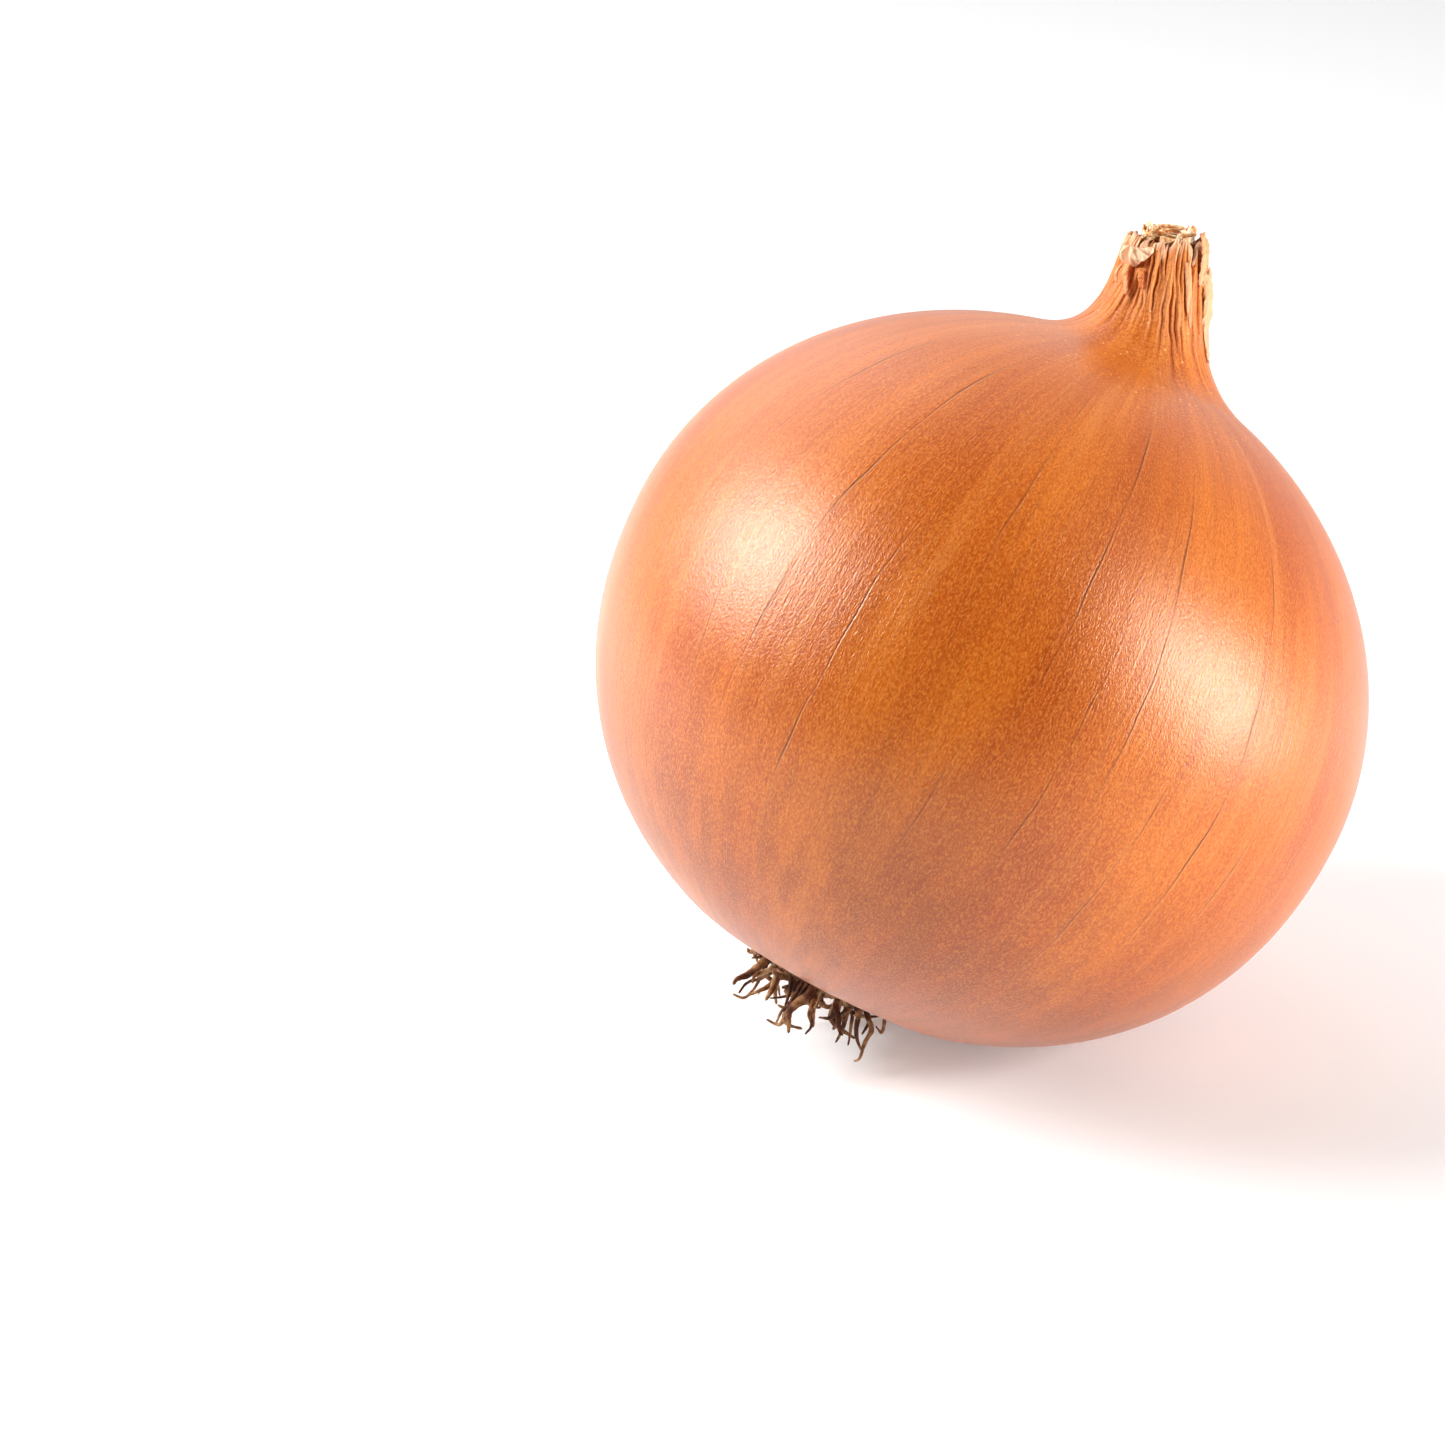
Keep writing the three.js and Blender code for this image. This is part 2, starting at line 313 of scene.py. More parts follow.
def mark_veins(around, radius, height):
    """For each point, how far to the side its nearest vein runs in millimetres, and how dark it is."""
    dice = np.random.default_rng(11)
    veins = [(math.radians(a), low, high, math.radians(d), dark) for a, low, high, d, dark in VEINS]
    for _ in range(VEINS_ROUND_THE_BACK):
        low = dice.uniform(-28, 12)
        veins.append(
            (
                math.radians(dice.uniform(-25, 190)),
                low,
                low + dice.uniform(14, 34),
                math.radians(dice.uniform(-3, 3)),
                dice.uniform(0.4, 1.0),
            )
        )
    nearest = np.full(len(around), 99.0)
    darkness = np.zeros(len(around))
    for angle, low, high, drift, dark in veins:
        kinks = dice.uniform(0, 2 * math.pi, 3)
        share = (height - low) / (high - low)
        wander = 0.003 * np.sin(height / 3.1 + kinks[0]) + 0.0015 * np.sin(height / 1.1 + kinks[1])
        aside = around - (angle + drift * (share - 0.5) + wander)
        aside = (aside + math.pi) % (2 * math.pi) - math.pi
        aside = aside * radius
        fade = smoothstep(share, 0, 0.12) * (1 - smoothstep(share, 0.85, 1))
        fade = fade * (0.65 + 0.35 * np.sin(height / 2.2 + kinks[2]))
        mine = (np.abs(aside) < np.abs(nearest)) & (fade > 0)
        nearest[mine] = aside[mine]
        darkness[mine] = (dark * fade * (1 - smoothstep(np.abs(aside), 1.2, 1.8)))[mine]
    return nearest, darkness


aside, darkness = mark_veins(around, radius, height)
note(skin, "vein", np.stack([np.clip(aside, -3, 3), darkness, 0 * aside], 1))
note(skin, "axis", np.stack([radius, height, 0 * height], 1))
# Painted shade and bleach: how deep in a crease the skin lies, painted as shade, how bleached it is,
# and how far inside the mouth, also painted as shade.
bleached = 0.8 * smoothstep(grown_height, NECK_TOP - 0.9, NECK_TOP) * outside
note(skin, "shade_and_bleach", np.stack([crease_shade, bleached, 1 - outside], 1))


def colour(hex_code):
    """A linear colour from an sRGB hex value."""
    parts = [int(hex_code[i : i + 2], 16) / 255 for i in (0, 2, 4)]
    linear = [p / 12.92 if p <= 0.04045 else ((p + 0.055) / 1.055) ** 2.4 for p in parts]
    return (*linear, 1)


def add(tree, kind, links=None, **settings):
    """Adds a node. Settings are its own properties; links are its inputs, each a value or an output."""
    node = tree.nodes.new(kind)
    for key, value in settings.items():
        setattr(node, key, value)
    for key, value in (links or {}).items():
        if isinstance(value, bpy.types.NodeSocket):
            tree.links.new(value, node.inputs[key])
        else:
            node.inputs[key].default_value = value
    return node


def new_material(name):
    """An empty material and its tree of nodes."""
    material = bpy.data.materials.new(name)
    material.use_nodes = True
    material.node_tree.nodes.clear()
    return material, material.node_tree


def onion_skin():
    """Dry onion skin: a translucent copper-brown paper over the pale flesh, with a satin gloss that its
    long flat cells break into a fine hammered grain. Streaks and veins run from root to neck."""
    material, tree = new_material("dry_onion_skin")
    growth = add(tree, "ShaderNodeAttribute", attribute_name="growth").outputs["Vector"]
    vein = add(tree, "ShaderNodeAttribute", attribute_name="vein").outputs["Vector"]
    axis = add(tree, "ShaderNodeAttribute", attribute_name="axis").outputs["Vector"]
    shade_and_bleach = add(tree, "ShaderNodeAttribute", attribute_name="shade_and_bleach").outputs["Vector"]
    vein = add(tree, "ShaderNodeSeparateXYZ", {"Vector": vein})
    axis = add(tree, "ShaderNodeSeparateXYZ", {"Vector": axis})
    shade_and_bleach = add(tree, "ShaderNodeSeparateXYZ", {"Vector": shade_and_bleach})

    def along_growth(wide, long, detail, roughness=0.5):
        """Noise in cells of that width round the widest ring and that length up the skin, in mm."""
        scale = (BULB_RADIUS / wide, BULB_RADIUS / wide, BULB_RADIUS / long)
        place = add(tree, "ShaderNodeMapping", {"Vector": growth, "Scale": scale})
        noise = {"Vector": place.outputs[0], "Scale": 1, "Detail": detail, "Roughness": roughness}
        return add(tree, "ShaderNodeTexNoise", noise).outputs["Fac"]

    def between(value, low, high, to_low=0.0, to_high=1.0):
        """Spreads a value between two limits over another range, and clips it there."""
        spread = {"Value": value, 1: low, 2: high, 3: to_low, 4: to_high}
        return add(tree, "ShaderNodeMapRange", spread, clamp=True).outputs[0]

    def maths(operation, first, second):
        """One sum on two values."""
        return add(tree, "ShaderNodeMath", {0: first, 1: second}, operation=operation).outputs[0]

    def mixed(factor, first, second):
        """Blends from the first colour to the second by that factor."""
        sockets = {0: factor, 6: first, 7: second}
        return add(tree, "ShaderNodeMix", sockets, data_type="RGBA").outputs[2]

    from_axis, up_axis = axis.outputs[0], axis.outputs[1]

    # the cells lie along the growth round the bulb, and are as wide as long near its ends
    in_space = add(tree, "ShaderNodeTexCoord").outputs["Object"]
    cells = {"Vector": in_space, "Scale": 1 / (0.28 * MM), "Detail": 2.0, "Roughness": 0.6}
    cells = add(tree, "ShaderNodeTexNoise", cells).outputs["Fac"]
    near_ends = between(from_axis, 28, 16)
    long_cells = along_growth(0.18, 0.34, 2.0, 0.6)
    grain = add(tree, "ShaderNodeMix", {0: near_ends, 2: long_cells, 3: cells}).outputs[0]
    # the other patterns run up the skin: fine ribs, streaks, broad bands, and short blotches
    striae = along_growth(0.45, 14.0, 3.0, 0.6)
    streaks = along_growth(2.2, 30.0, 3.0, 0.55)
    bands = along_growth(11.0, 40.0, 2.0)
    mottle = along_growth(3.2, 7.0, 4.0, 0.62)

    skin_colour = mixed(between(bands, 0.35, 0.65), colour("cb6510"), colour("b0480a"))
    skin_colour = mixed(between(streaks, 0.5, 0.75, 0.0, 0.4), skin_colour, colour("a4440c"))
    skin_colour = mixed(between(streaks, 0.46, 0.28, 0.0, 0.3), skin_colour, colour("dd8a42"))
    # towards the roots the skin is thicker, redder and blotched; the blotches are deepened as painted shade
    low_down = between(up_axis, -4, -24)
    blotches_and_shade = maths("MULTIPLY", low_down, between(mottle, 0.38, 0.6, 0.25, 0.75))
    skin_colour = mixed(blotches_and_shade, skin_colour, colour("8a360a"))
    # up the neck it is drier, straw on the crests, with painted shade red-brown down in the creases
    up_neck = between(up_axis, 33, 43)
    fibres = along_growth(4.5, 14.0, 4.0, 0.7)
    straw = maths("MULTIPLY", up_neck, between(fibres, 0.38, 0.6, 0.15, 0.8))
    skin_colour = mixed(straw, skin_colour, colour("f49a48"))
    skin_colour = mixed(between(striae, 0.45, 0.7, 0.0, 0.3), skin_colour, colour("8a3a0c"))
    skin_colour = mixed(between(grain, 0.45, 0.68, 0.0, 0.4), skin_colour, colour("f59a3e"))
    skin_colour = mixed(between(grain, 0.45, 0.3, 0.0, 0.4), skin_colour, colour("963806"))
    # painted shade: the skin is darkened red-brown down in the neck's creases
    skin_colour = mixed(maths("MULTIPLY", shade_and_bleach.outputs[0], 0.5), skin_colour, colour("a03c08"))
    # pale specks, where the skin's surface flaked as it dried round the foot of the neck
    flakes = {"Vector": in_space, "Scale": 1 / (0.8 * MM)}
    flakes = add(tree, "ShaderNodeTexVoronoi", flakes, feature="F1")
    pick = add(tree, "ShaderNodeSeparateColor", {0: flakes.outputs["Color"]}).outputs[0]
    few = between(pick, 0.7, 0.75)
    specks = maths("MULTIPLY", between(flakes.outputs["Distance"], 0.10, 0.17, 1.0, 0.0), few)
    round_foot = maths("MULTIPLY", between(up_axis, 29, 34), between(up_axis, 43, 39))
    specks = maths("MULTIPLY", specks, round_foot)
    skin_colour = mixed(maths("MULTIPLY", specks, 0.75), skin_colour, colour("fbd488"))
    bleached = maths("MULTIPLY", shade_and_bleach.outputs[1], between(mottle, 0.3, 0.6, 0.4, 1.0))
    skin_colour = mixed(bleached, skin_colour, colour("ffdcb8"))

    # a vein is a fine dark line with a raised edge on one side, painted pale as a highlight
    side = vein.outputs[0]
    line = between(maths("ABSOLUTE", side, 0.0), 0.05, 0.13, 1.0, 0.0)
    line = maths("MULTIPLY", line, vein.outputs[1])
    raised_edge_and_highlight = between(maths("ABSOLUTE", maths("SUBTRACT", side, 0.16), 0.0), 0.04, 0.13, 1.0, 0.0)
    raised_edge_and_highlight = maths("MULTIPLY", raised_edge_and_highlight, vein.outputs[1])
    skin_colour = mixed(maths("MULTIPLY", line, 0.95), skin_colour, colour("622204"))
    # painted highlight: the lit side of the vein's raised edge
    skin_colour = mixed(maths("MULTIPLY", raised_edge_and_highlight, 0.2), skin_colour, colour("f0b070"))
    # painted shade: inside the mouth the skin is darkened to the colour of shaded dry leaf
    skin_colour = mixed(shade_and_bleach.outputs[2], skin_colour, colour("6e3818"))

    # ribs crowd together where the skin is narrow, and get lower with it
    girth = between(from_axis, 0, BULB_RADIUS, 0.05, 1.0)
    ribbing = maths("MULTIPLY", maths("MULTIPLY", striae, 1.1), girth)
    height = maths("ADD", maths("MULTIPLY", grain, 1.25), ribbing)
    height = maths("SUBTRACT", height, maths("MULTIPLY", line, 0.5))
    height = maths("ADD", height, maths("MULTIPLY", raised_edge_and_highlight, 0.4))
    height = maths("ADD", height, maths("MULTIPLY", maths("MULTIPLY", fibres, up_neck), 5.0))
    bump = add(tree, "ShaderNodeBump", {"Strength": 1.0, "Distance": 0.05 * MM, "Height": height})
    gloss = between(grain, 0.3, 0.7, 0.29, 0.39)
    gloss = maths("ADD", gloss, maths("MULTIPLY", up_neck, 0.2))
    # the waxy bloom on top is thickest round the belly and worn off towards the neck
    bloom = between(up_axis, 12, 33, 0.42, 0.06)
    surface = add(
        tree,
        "ShaderNodeBsdfPrincipled",
        {
            "Base Color": skin_colour,
            "Roughness": gloss,
            "IOR": 1.5,
            "Specular IOR Level": 0.62,
            "Specular Tint": colour("ffe6cc"),
            "Coat Weight": bloom,
            "Coat Roughness": 0.24,
            "Coat Normal": bump.outputs[0],
            "Normal": bump.outputs[0],
        },
    )
    add(tree, "ShaderNodeOutputMaterial", {"Surface": surface.outputs[0]})
    return material


skin_material = onion_skin()
skin.data.materials.append(skin_material)
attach(skin, "root")
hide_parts("bulb")

# ---- Torn skin of the neck ----
# Where the neck dried, the outer skins split into strips. Some curl away from it, one is folded back as
# a thick flap, and the rim is left in shreds. Each is drawn out of a ball along the line it grew on.


def through(points, count):
    """A smooth line through points, as that many places spaced evenly along it."""
    points = np.array(points, float)
    ends = 2 * points[0] - points[1], 2 * points[-1] - points[-2]
    near = np.vstack([ends[0], points, ends[1]])
    line = []
    for a, b, c, d in zip(near, near[1:], near[2:], near[3:]):
        for t in np.linspace(0, 1, 24, endpoint=False):
            straight = 2 * b + (c - a) * t
            bend = (2 * a - 5 * b + 4 * c - d) * t**2
            twist = (3 * b - a - 3 * c + d) * t**3
            line.append(0.5 * (straight + bend + twist))
    line = np.array(line + [points[-1]])
    length = np.append(0, np.cumsum(np.linalg.norm(np.diff(line, axis=0), axis=1)))
    even = np.linspace(0, length[-1], count)
    return np.stack([np.interp(even, length, line[:, k]) for k in range(3)], 1)


def drawn_out(name, path, widths, thicknesses, facing, curl, segments, rings, seed, crumple=0.05):
    """Draws a ball out along a path into a closed strip with torn ends, and gives its points. Its flat
    side faces the given way at the start, a curl rolls its edges that way, and it is crumpled by that
    share of its width."""
    dice = np.random.default_rng(seed)
    piece, around, ring = grid_ball(name, segments, rings)
    line = through(path, rings + 1)
    along = np.gradient(line, axis=0)
    along /= np.linalg.norm(along, axis=1)[:, None]
    normal = np.array(facing, float)
    normals = []
    for way in along:
        normal = normal - way * (normal @ way)
        normal = normal / np.linalg.norm(normal)
        normals.append(normal)
    normals = np.array(normals)
    sides = np.cross(along, normals)
    share = np.linspace(0, 1, rings + 1)
    wide = np.interp(share, np.linspace(0, 1, len(widths)), widths) / 2
    thick = np.interp(share, np.linspace(0, 1, len(thicknesses)), thicknesses) / 2
    pole = (ring == 0) | (ring == rings)
    sideways = wide[ring] * np.cos(around) * (1 + dice.normal(0, 0.03, len(around)))
    outward = thick[ring] * np.sin(around)
    sideways[pole] = outward[pole] = 0
    outward = outward + curl * sideways**2
    for waves in (2, 3, 5, 7, 10):
        turn = 2 * math.pi * waves * ring / rings + dice.integers(0, 4) * around
        crumpled = crumple * wide[ring] * np.cos(turn + dice.uniform(0, 2 * math.pi))
        outward = outward + np.where(pole, 0, crumpled)
    torn = dice.normal(0, 0.25, len(around)) * wide[ring] * ((ring < 3) | (ring > rings - 3))
    places = line[ring] + sideways[:, None] * sides[ring] + outward[:, None] * normals[ring]
    places += torn[:, None] * along[ring]
    bpy.ops.object.shade_smooth()
    return piece, places


outer = (np.arange(SKIN_RINGS + 1) <= rim_ring) & (ring_height > 0)


def in_mouth(degrees, height, radius):
    """A point at that distance from the neck's middle, at an angle round it and a height up it."""
    angle = math.radians(degrees)
    return [radius * math.cos(angle), radius * math.sin(angle), height]


def on_neck(degrees, height, out):
    """A point that far outside the skin, at an angle round the neck and a height up it."""
    radius = np.interp(height, ring_height[outer], ring_radius[outer]) + out
    return in_mouth(degrees, height, radius)


def grown(piece, upright, material, node, bleach=0.0):
    """Lays a piece down with the bulb, and gives it the skin's direction of growth and its material."""
    radius = np.hypot(upright[:, 0], upright[:, 1]) + 1e-6
    up_skin = np.interp(upright[:, 2], ring_height[outer], ring_length[outer]) / BULB_RADIUS
    nothing = 0 * radius
    note(piece, "growth", np.stack([upright[:, 0] / radius, upright[:, 1] / radius, up_skin], 1))
    note(piece, "axis", np.stack([radius, upright[:, 2], nothing], 1))
    note(piece, "vein", np.stack([nothing, nothing, nothing], 1))
    note(piece, "shade_and_bleach", np.stack([nothing, nothing + bleach, nothing], 1))
    reshape(piece, laid_down(lean_over(upright)))
    piece.data.materials.append(material)
    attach(piece, "root")
    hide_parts(node)


# each strip: its places as angle, height and distance outside the neck, its widths, its thicknesses,
# and its curl, how bleached and how crumpled it is
STRIPS = {
    "folded_flap": (
        [(-172, 46.1, 0.1), (-162, 45.8, 0.55), (-147, 45.6, 0.7), (-132, 46.0, 0.5), (-118, 46.7, 0.2)],
        (1.0, 2.0, 2.3, 1.4, 0.5),
        (0.4, 0.5, 0.5, 0.4, 0.2),
        (-0.2, 1.0, 0.13),
    ),
    "free_strip": (
        [(-40, 43.8, 0.15), (-38, 45.4, 0.35), (-37, 47.0, 0.45), (-42, 48.5, 0.3)],
        (0.7, 1.2, 1.3, 0.9),
        (0.3, 0.3, 0.25, 0.2),
        (0.15, 0.35, 0.05),
    ),
    "stepped_strip": (
        [(-24, 45.1, 0.35), (-21, 43.8, 0.6), (-19, 42.2, 0.5), (-17, 40.3, 0.3), (-22, 38.2, 0.1)],
        (1.7, 2.5, 2.3, 1.5, 0.6),
        (0.35, 0.5, 0.5, 0.4, 0.3),
        (-0.1, 0.45, 0.05),
    ),
    "left_sliver": (
        [(-152, 44.9, 0.2), (-148, 43.5, 0.55), (-141, 42.1, 0.5), (-138, 40.9, 0.3)],
        (0.8, 0.9, 0.7, 0.3),
        (0.25, 0.22, 0.2, 0.15),
        (0.25, 0.2, 0.05),
    ),
    "edge_sliver": (
        [(-170, 44.4, 0.15), (-167, 43.3, 0.5), (-161, 42.0, 0.3)],
        (0.5, 0.8, 0.4),
        (0.2, 0.25, 0.15),
        (0.3, 0.3, 0.05),
    ),
    "short_sliver": (
        [(-128, 44.6, 0.2), (-125, 43.4, 0.4), (-121, 42.3, 0.2)],
        (0.7, 0.6, 0.25),
        (0.2, 0.2, 0.15),
        (0.3, 0.0, 0.05),
    ),
    "long_sliver": (
        [(-66, 45.9, 0.15), (-63, 44.0, 0.3), (-60, 42.0, 0.25), (-57, 40.2, 0.05)],
        (0.6, 0.7, 0.7, 0.3),
        (0.25, 0.25, 0.25, 0.2),
        (0.2, 0.3, 0.05),
    ),
    "back_strip": (
        [(95, 46.8, 0.2), (98, 45.0, 0.6), (102, 43.0, 0.5), (108, 41.0, 0.2)],
        (1.2, 1.6, 1.3, 0.6),
        (0.3, 0.35, 0.3, 0.2),
        (0.15, 0.3, 0.05),
    ),
    "back_sliver": (
        [(40, 46.2, 0.15), (36, 44.4, 0.5), (33, 42.8, 0.3)],
        (0.7, 0.9, 0.4),
        (0.25, 0.25, 0.2),
        (0.2, 0.2, 0.05),
    ),
}
for number, (name, (steps, widths, thicknesses, manner)) in enumerate(STRIPS.items()):
    curl, bleach, crumple = manner
    path = [on_neck(*step) for step in steps]
    facing = (path[0][0], path[0][1], 0)
    strip, upright = drawn_out(
        name,
        path,
        widths,
        thicknesses,
        facing,
        curl,
        segments=18,
        rings=40,
        seed=30 + number,
        crumple=crumple,
    )
    grown(strip, upright, skin_material, "bulb", bleach)

# The shreds of the rim: short, thin and frayed, leaning in and out.
SHRED_COUNT = 34

dice = np.random.default_rng(5)
shreds = []
for number in range(SHRED_COUNT):
    degrees = 360 * number / SHRED_COUNT + dice.uniform(-5, 5)
    lean_out = dice.uniform(-0.5, 0.1)
    reach = dice.uniform(0.0, 0.7)
    path = [
        on_neck(degrees, dice.uniform(45.2, 46.2), -0.3),
        on_neck(degrees + dice.uniform(-4, 4), 46.8, -0.1),
        on_neck(degrees + dice.uniform(-8, 8), NECK_TOP + reach, lean_out),
    ]
    wide = dice.uniform(0.25, 0.7)
    shred, upright = drawn_out(
        "rim_shred",
        path,
        widths=(wide, wide, 0.3 * wide),
        thicknesses=(0.14, 0.14, 0.1),
        facing=(path[0][0], path[0][1], 0),
        curl=dice.uniform(-0.2, 0.6),
        segments=8,
        rings=14,
        seed=60 + number,
    )
    grown(shred, upright, skin_material, "bulb", bleach=0.5)
    shreds.append(shred)


def joined(pieces, name):
    """Makes one piece of several that grew together."""
    bpy.ops.object.select_all(action="DESELECT")
    for piece in pieces:
        piece.select_set(True)
    bpy.context.view_layer.objects.active = pieces[0]
    bpy.ops.object.join()
    pieces[0].name = pieces[0].data.name = name


joined(shreds, "rim_shreds")

# ---- Dry leaf ends in the mouth ----
# The inner leaves dried to pale straw-coloured ribbons and fibres. Most were trimmed off and curl over
# each other in the neck's mouth; one stout strip leans out over the rim.


def lumps_of(tree, size):
    """Noise in lumps of that size in millimetres."""
    place = add(tree, "ShaderNodeTexCoord").outputs["Object"]
    lumps = {"Vector": place, "Scale": 1 / (size * MM), "Detail": 3.0, "Roughness": 0.6}
    return add(tree, "ShaderNodeTexNoise", lumps).outputs["Fac"]


def mottled(tree, size, stops):
    """A colour that runs through a row of stops, in lumps of that size in millimetres."""
    ramp = add(tree, "ShaderNodeValToRGB", {"Fac": lumps_of(tree, size)})
    while len(ramp.color_ramp.elements) < len(stops):
        ramp.color_ramp.elements.new(0.5)
    for element, (position, hex_code) in zip(ramp.color_ramp.elements, stops):
        element.position = position
        element.color = colour(hex_code)
    return ramp.outputs[0]


def dry_leaf():
    """Dry onion leaf: bleached matt fibre, straw to cream, with brown patches and a fine wrinkle."""
    material, tree = new_material("dry_onion_leaf")
    stops = ((0.34, "8c4a1c"), (0.43, "d2884a"), (0.5, "f0be84"), (0.62, "fdeac8"))
    wrinkles = lumps_of(tree, 0.25)
    bump = add(tree, "ShaderNodeBump", {"Distance": 0.12 * MM, "Height": wrinkles})
    surface = add(
        tree,
        "ShaderNodeBsdfPrincipled",
        {
            "Base Color": mottled(tree, 1.1, stops),
            "Roughness": 0.75,
            "IOR": 1.45,
            "Subsurface Weight": 0.1,
            "Subsurface Scale": 0.5 * MM,
            "Normal": bump.outputs[0],
        },
    )
    add(tree, "ShaderNodeOutputMaterial", {"Surface": surface.outputs[0]})
    return material


leaf_material = dry_leaf()
leaf_ends = []


def leaf_end(path, widths, thicknesses, facing, curl, seed, rings=26):
    """Draws out one dry leaf end and keeps it to be joined with the rest."""
    end, upright = drawn_out(
        "leaf_end", path, widths, thicknesses, facing, curl, segments=10, rings=rings, seed=seed
    )
    grown(end, upright, leaf_material, "neck_leaf_ends")
    leaf_ends.append(end)


# the stout strip, then a shorter brown one behind it
stout_path = [
    in_mouth(-95, 45.4, 1.0),
    in_mouth(-72, 46.9, 1.5),
    in_mouth(-50, 48.2, 2.3),
    in_mouth(-42, 49.0, 2.8),
]
leaf_end(stout_path, (0.8, 0.85, 0.8, 0.7), (0.5, 0.5, 0.45, 0.4), (0.3, -1, 0.4), curl=0.25, seed=100)
short_path = [in_mouth(-20, 45.5, 1.2), in_mouth(-12, 47.2, 1.7), in_mouth(-15, 48.7, 2.2)]
leaf_end(short_path, (0.7, 0.8, 0.6), (0.3, 0.3, 0.25), (0.3, -1, 0.3), curl=0.3, seed=101)
# a fibre that curls round on itself on the far left
loop = [
    in_mouth(-170 + 28 * math.sin(turn), 48.3 + 0.5 * math.cos(turn), 2.2 + 0.05 * turn)
    for turn in np.linspace(0, 7.2, 12)
]
leaf_end([in_mouth(-170, 46.4, 2.0)] + loop, (0.28,), (0.22,), (1, 0, 0), curl=0, seed=102, rings=60)
# the rest lie crumpled over each other
RIBBON_COUNT = 36

dice = np.random.default_rng(9)
for number in range(RIBBON_COUNT):
    heading = dice.uniform(-180, 180)
    path = [in_mouth(heading, 44.9, dice.uniform(0.3, 1.8))]
    for step in range(dice.integers(3, 6)):
        heading += dice.uniform(-95, 95)
        lift = 46.6 + 0.5 * step + dice.uniform(-0.3, 0.7)
        path.append(in_mouth(heading, min(lift, 48.5), dice.uniform(0.8, 2.9)))
    wide = dice.uniform(0.35, 0.9)
    widths = (wide, wide, 0.6 * wide)
    facing = (dice.normal(), dice.normal(), dice.normal())
    leaf_end(path, widths, (0.2, 0.18, 0.12), facing, curl=0.3, seed=110 + number, rings=44)
joined(leaf_ends, "leaf_ends")

# ---- Root plate and dry roots ----
# The short stem under the bulb, a crumbly brown plate in the dish of the skin. The roots that grew from
# it are dry, curled and matted; some are flattened, and those under the bulb lie on the table.

PLATE_RADIUS = 7.3
PLATE_HEIGHT = -36.0
PLATE_THICKNESS = 1.7
PLATE_LUMPS = 0.16
PLATE_CRUMBS = 0.12
ROOT_COUNT = 64
MOUND_RADIUS = 8.6
MOUND_FOOT = -41.5  # the mat of roots keeps within a low mound under the plate
ROOT_TABLE_CLEARANCE = 0.7


def dry_root():
    """Dry onion root: wrinkled matt fibre, dark brown in the tuft, tan where the bark has rubbed off."""
    material, tree = new_material("dry_onion_root")
    stops = ((0.33, "3b2015"), (0.45, "6b4026"), (0.56, "a07850"), (0.7, "cdb08a"))
    wrinkles = lumps_of(tree, 0.3)
    bump = add(tree, "ShaderNodeBump", {"Distance": 0.15 * MM, "Height": wrinkles})
    surface = add(
        tree,
        "ShaderNodeBsdfPrincipled",
        {
            "Base Color": mottled(tree, 2.4, stops),
            "Roughness": 0.85,
            "IOR": 1.45,
            "Normal": bump.outputs[0],
        },
    )
    add(tree, "ShaderNodeOutputMaterial", {"Surface": surface.outputs[0]})
    return material


root_material = dry_root()


def rooted(piece, placed):
    """Places a piece, given in millimetres on the table, with the roots' material."""
    reshape(piece, placed * MM)
    piece.data.materials.append(root_material)
    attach(piece, "root")
    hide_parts("root_tuft")


plate, around_plate, _ = grid_ball("root_plate", 120, 60)
ball = places_of(plate)
from_middle = np.hypot(ball[:, 0], ball[:, 1])
lumps = ripples(around_plate, (5, 8, 13, 21), 20, 1.0, 6 * ball[:, 2]) * from_middle
crumbs = np.random.default_rng(21).normal(0, PLATE_CRUMBS, len(ball)) * from_middle
upright = ball * np.array([PLATE_RADIUS, PLATE_RADIUS, PLATE_THICKNESS / 2])
upright[:, 2] += PLATE_HEIGHT + PLATE_LUMPS * lumps + crumbs
upright[:, :2] *= (1 + 0.02 * lumps)[:, None]
bpy.ops.object.shade_smooth()
rooted(plate, upright @ leaning.T - rest_spot)

dice = np.random.default_rng(14)
roots = []
for number in range(ROOT_COUNT):
    heading = dice.uniform(0, 2 * math.pi)
    start = PLATE_RADIUS * math.sqrt(dice.uniform(0.02, 0.85))
    place = np.array([start * math.cos(heading), start * math.sin(heading), PLATE_HEIGHT - 0.2])
    way = np.array([0.55 * math.cos(heading), 0.55 * math.sin(heading), -0.8])
    path = [place]
    step_length = dice.uniform(1.1, 1.9)
    for step in range(dice.integers(3, 6)):
        way = way + dice.normal(0, 0.55, 3)
        way /= np.linalg.norm(way)
        place = place + step_length * way
        place[2] = np.clip(place[2], MOUND_FOOT, PLATE_HEIGHT - 0.4)
        across = np.hypot(place[0], place[1])
        place[:2] *= min(1, MOUND_RADIUS / across)
        path.append(place)
    path = np.array(path) @ leaning.T - rest_spot
    path[:, 2] = np.maximum(path[:, 2], ROOT_TABLE_CLEARANCE + 0.1 * dice.uniform(0, 6, len(path)))
    wide = dice.uniform(0.45, 1.0)
    thick = wide * dice.uniform(0.35, 0.9)
    root, placed = drawn_out(
        "dry_root",
        path,
        widths=(wide, wide, 0.8 * wide, 0.35 * wide),
        thicknesses=(thick, thick, 0.4 * thick),
        facing=dice.normal(0, 1, 3),
        curl=0,
        segments=8,
        rings=30,
        seed=200 + number,
    )
    rooted(root, placed)
    roots.append(root)
joined(roots, "dry_roots")

# ---- Studio ----
# A pale table under soft light: a broad soft box high on the left, a tall one low on the right, a faint
# one behind and another at the upper right, and pale walls behind that the skin's edges catch.

FLOOR_SIZE = 8.0
centre = Vector((-rest_spot * MM).tolist())


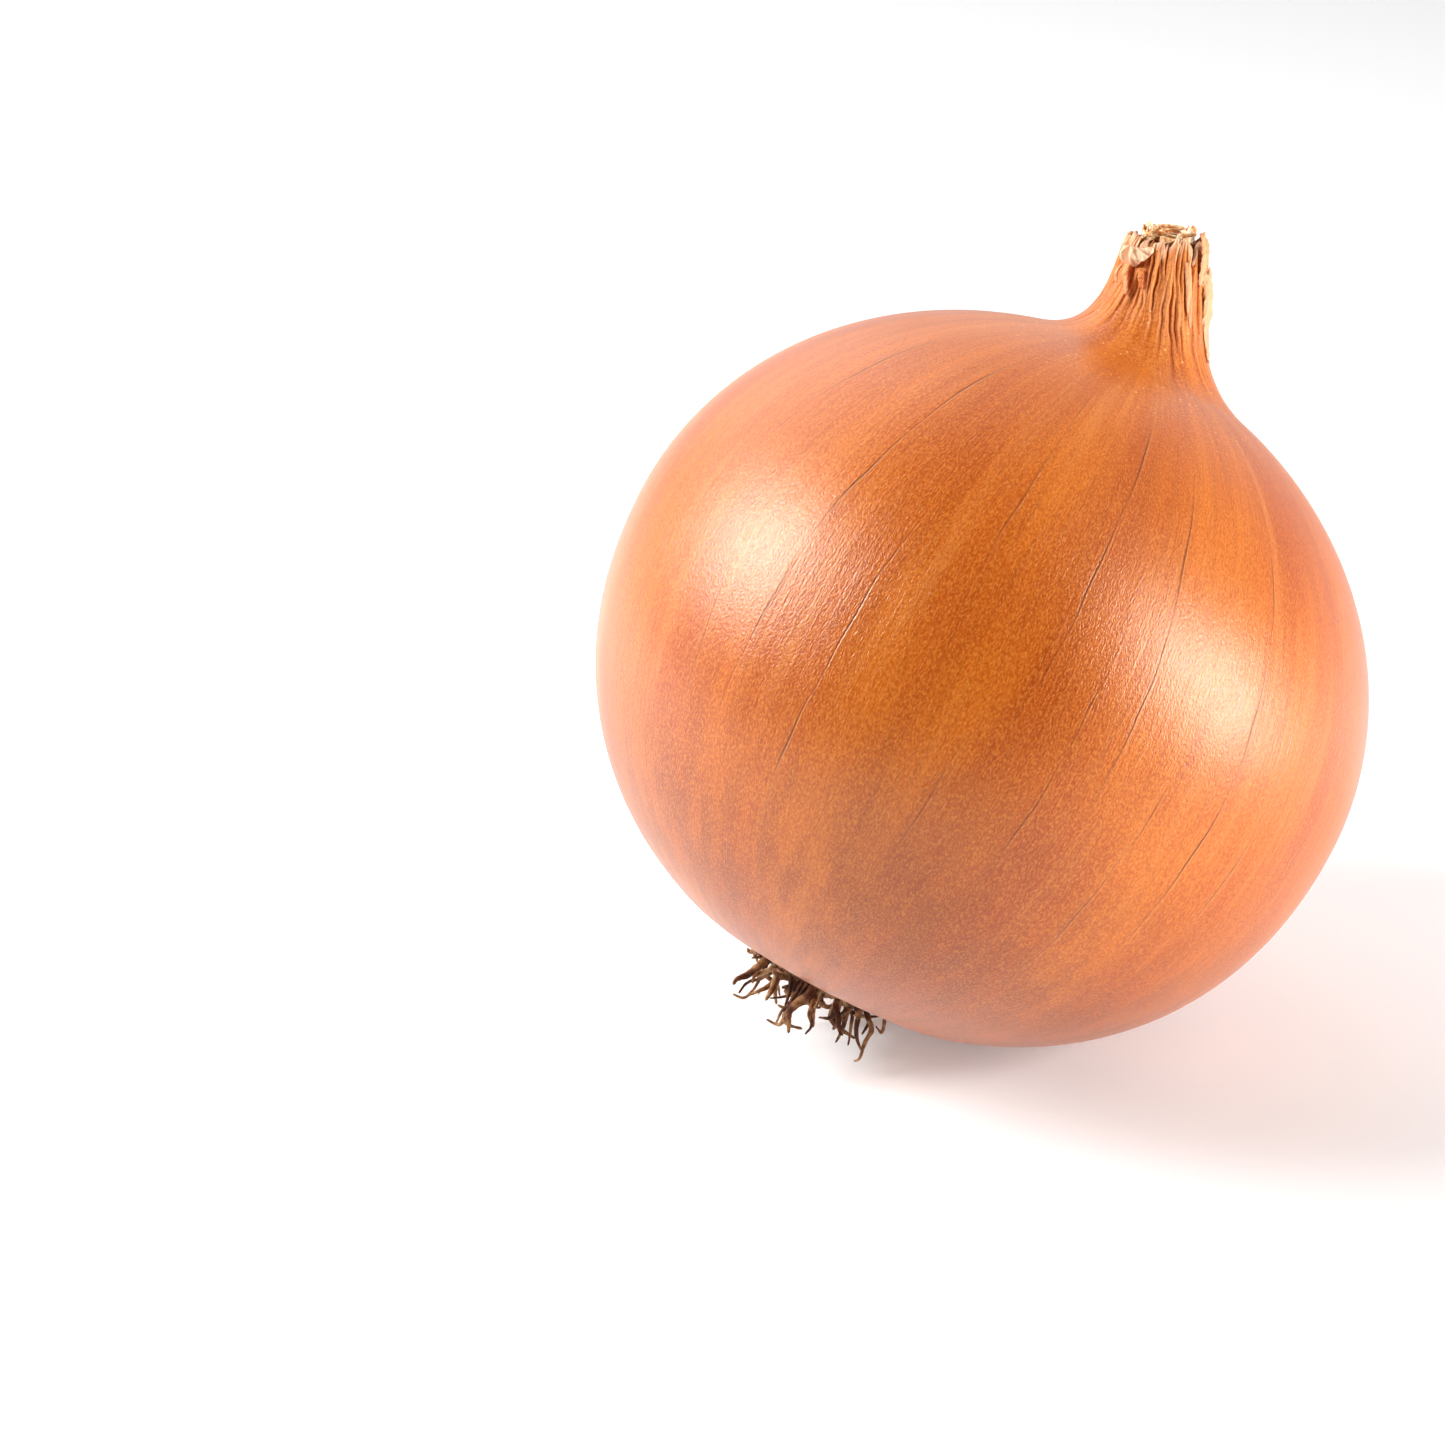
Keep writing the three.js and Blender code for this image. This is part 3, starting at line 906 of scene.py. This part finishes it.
def light_table():
    """Opal acrylic, matt white and lit a little from below."""
    material, tree = new_material("opal_light_table")
    opal = {
        "Base Color": colour("e4e4e4"),
        "Roughness": 0.9,
        "Emission Color": colour("ffffff"),
        "Emission Strength": 0.22,
    }
    surface = add(tree, "ShaderNodeBsdfPrincipled", opal)
    add(tree, "ShaderNodeOutputMaterial", {"Surface": surface.outputs[0]})
    return material


bpy.ops.object.select_all(action="DESELECT")
bpy.ops.mesh.primitive_plane_add(size=FLOOR_SIZE)
floor = bpy.context.object
floor.name = "floor"
floor.data.materials.append(light_table())


def soft_box(name, direction, distance, wide, high, watts):
    """A flat soft light of that size in metres, facing the bulb from a direction."""
    lamp = bpy.data.lights.new(name, "AREA")
    lamp.shape = "RECTANGLE"
    lamp.size, lamp.size_y = wide, high
    lamp.energy = watts
    holder = bpy.data.objects.new(name, lamp)
    bpy.context.scene.collection.objects.link(holder)
    direction = Vector(direction).normalized()
    holder.location = centre + direction * distance
    holder.rotation_euler = direction.to_track_quat("Z", "Y").to_euler()


soft_box("left_soft_box", (-0.85, 0.04, 0.53), 0.55, 0.28, 0.30, 5.0)
soft_box("right_soft_box", (0.93, -0.38, 0.13), 0.50, 0.12, 0.40, 4.5)
soft_box("back_soft_box", (-0.38, 0.62, 0.68), 0.60, 0.50, 0.50, 0.9)
soft_box("upper_right_soft_box", (0.72, -0.12, 0.68), 0.60, 0.40, 0.40, 0.5)

world = bpy.data.worlds.new("pale_walls")
world.use_nodes = True
world.node_tree.nodes.clear()
sky = world.node_tree
# the walls are dim in front and at the sides, and brighten towards the one straight behind
towards = add(sky, "ShaderNodeTexCoord").outputs["Generated"]
backwards = add(sky, "ShaderNodeSeparateXYZ", {"Vector": towards}).outputs[1]
walls = {"Value": backwards, 1: 0.2, 2: 0.92, 3: 0.03, 4: 1.2}
walls = add(sky, "ShaderNodeMapRange", walls).outputs[0]
seen = add(sky, "ShaderNodeLightPath").outputs["Is Camera Ray"]
strength = add(sky, "ShaderNodeMix", {0: seen, 2: walls, 3: 1.0}, data_type="FLOAT").outputs[0]
backdrop = add(sky, "ShaderNodeBackground", {"Color": colour("ffffff"), "Strength": strength})
add(sky, "ShaderNodeOutputWorld", {"Surface": backdrop.outputs[0]})
bpy.context.scene.world = world
bpy.context.scene.view_settings.view_transform = "Standard"

# ---- Camera ----
# It looks along +Y and a little down, at a spot to the left of the bulb and below its middle.

CAMERA_HEIGHT_ANGLE = math.radians(25)
CAMERA_DISTANCE = 0.4126
AIM_LEFT_OF_BULB = 0.0269
AIM_BELOW_BULB = 0.0054

lens = bpy.data.cameras.new("camera")
lens.lens = 100
lens.sensor_width = 36
lens.clip_start = 0.01
camera = bpy.data.objects.new("camera", lens)
bpy.context.scene.collection.objects.link(camera)
back = Vector((0, -math.cos(CAMERA_HEIGHT_ANGLE), math.sin(CAMERA_HEIGHT_ANGLE)))
up = Vector((0, math.sin(CAMERA_HEIGHT_ANGLE), math.cos(CAMERA_HEIGHT_ANGLE)))
aim = centre - Vector((AIM_LEFT_OF_BULB, 0, 0)) - up * AIM_BELOW_BULB
camera.location = aim + back * CAMERA_DISTANCE
camera.rotation_euler = back.to_track_quat("Z", "Y").to_euler()
bpy.context.scene.camera = camera
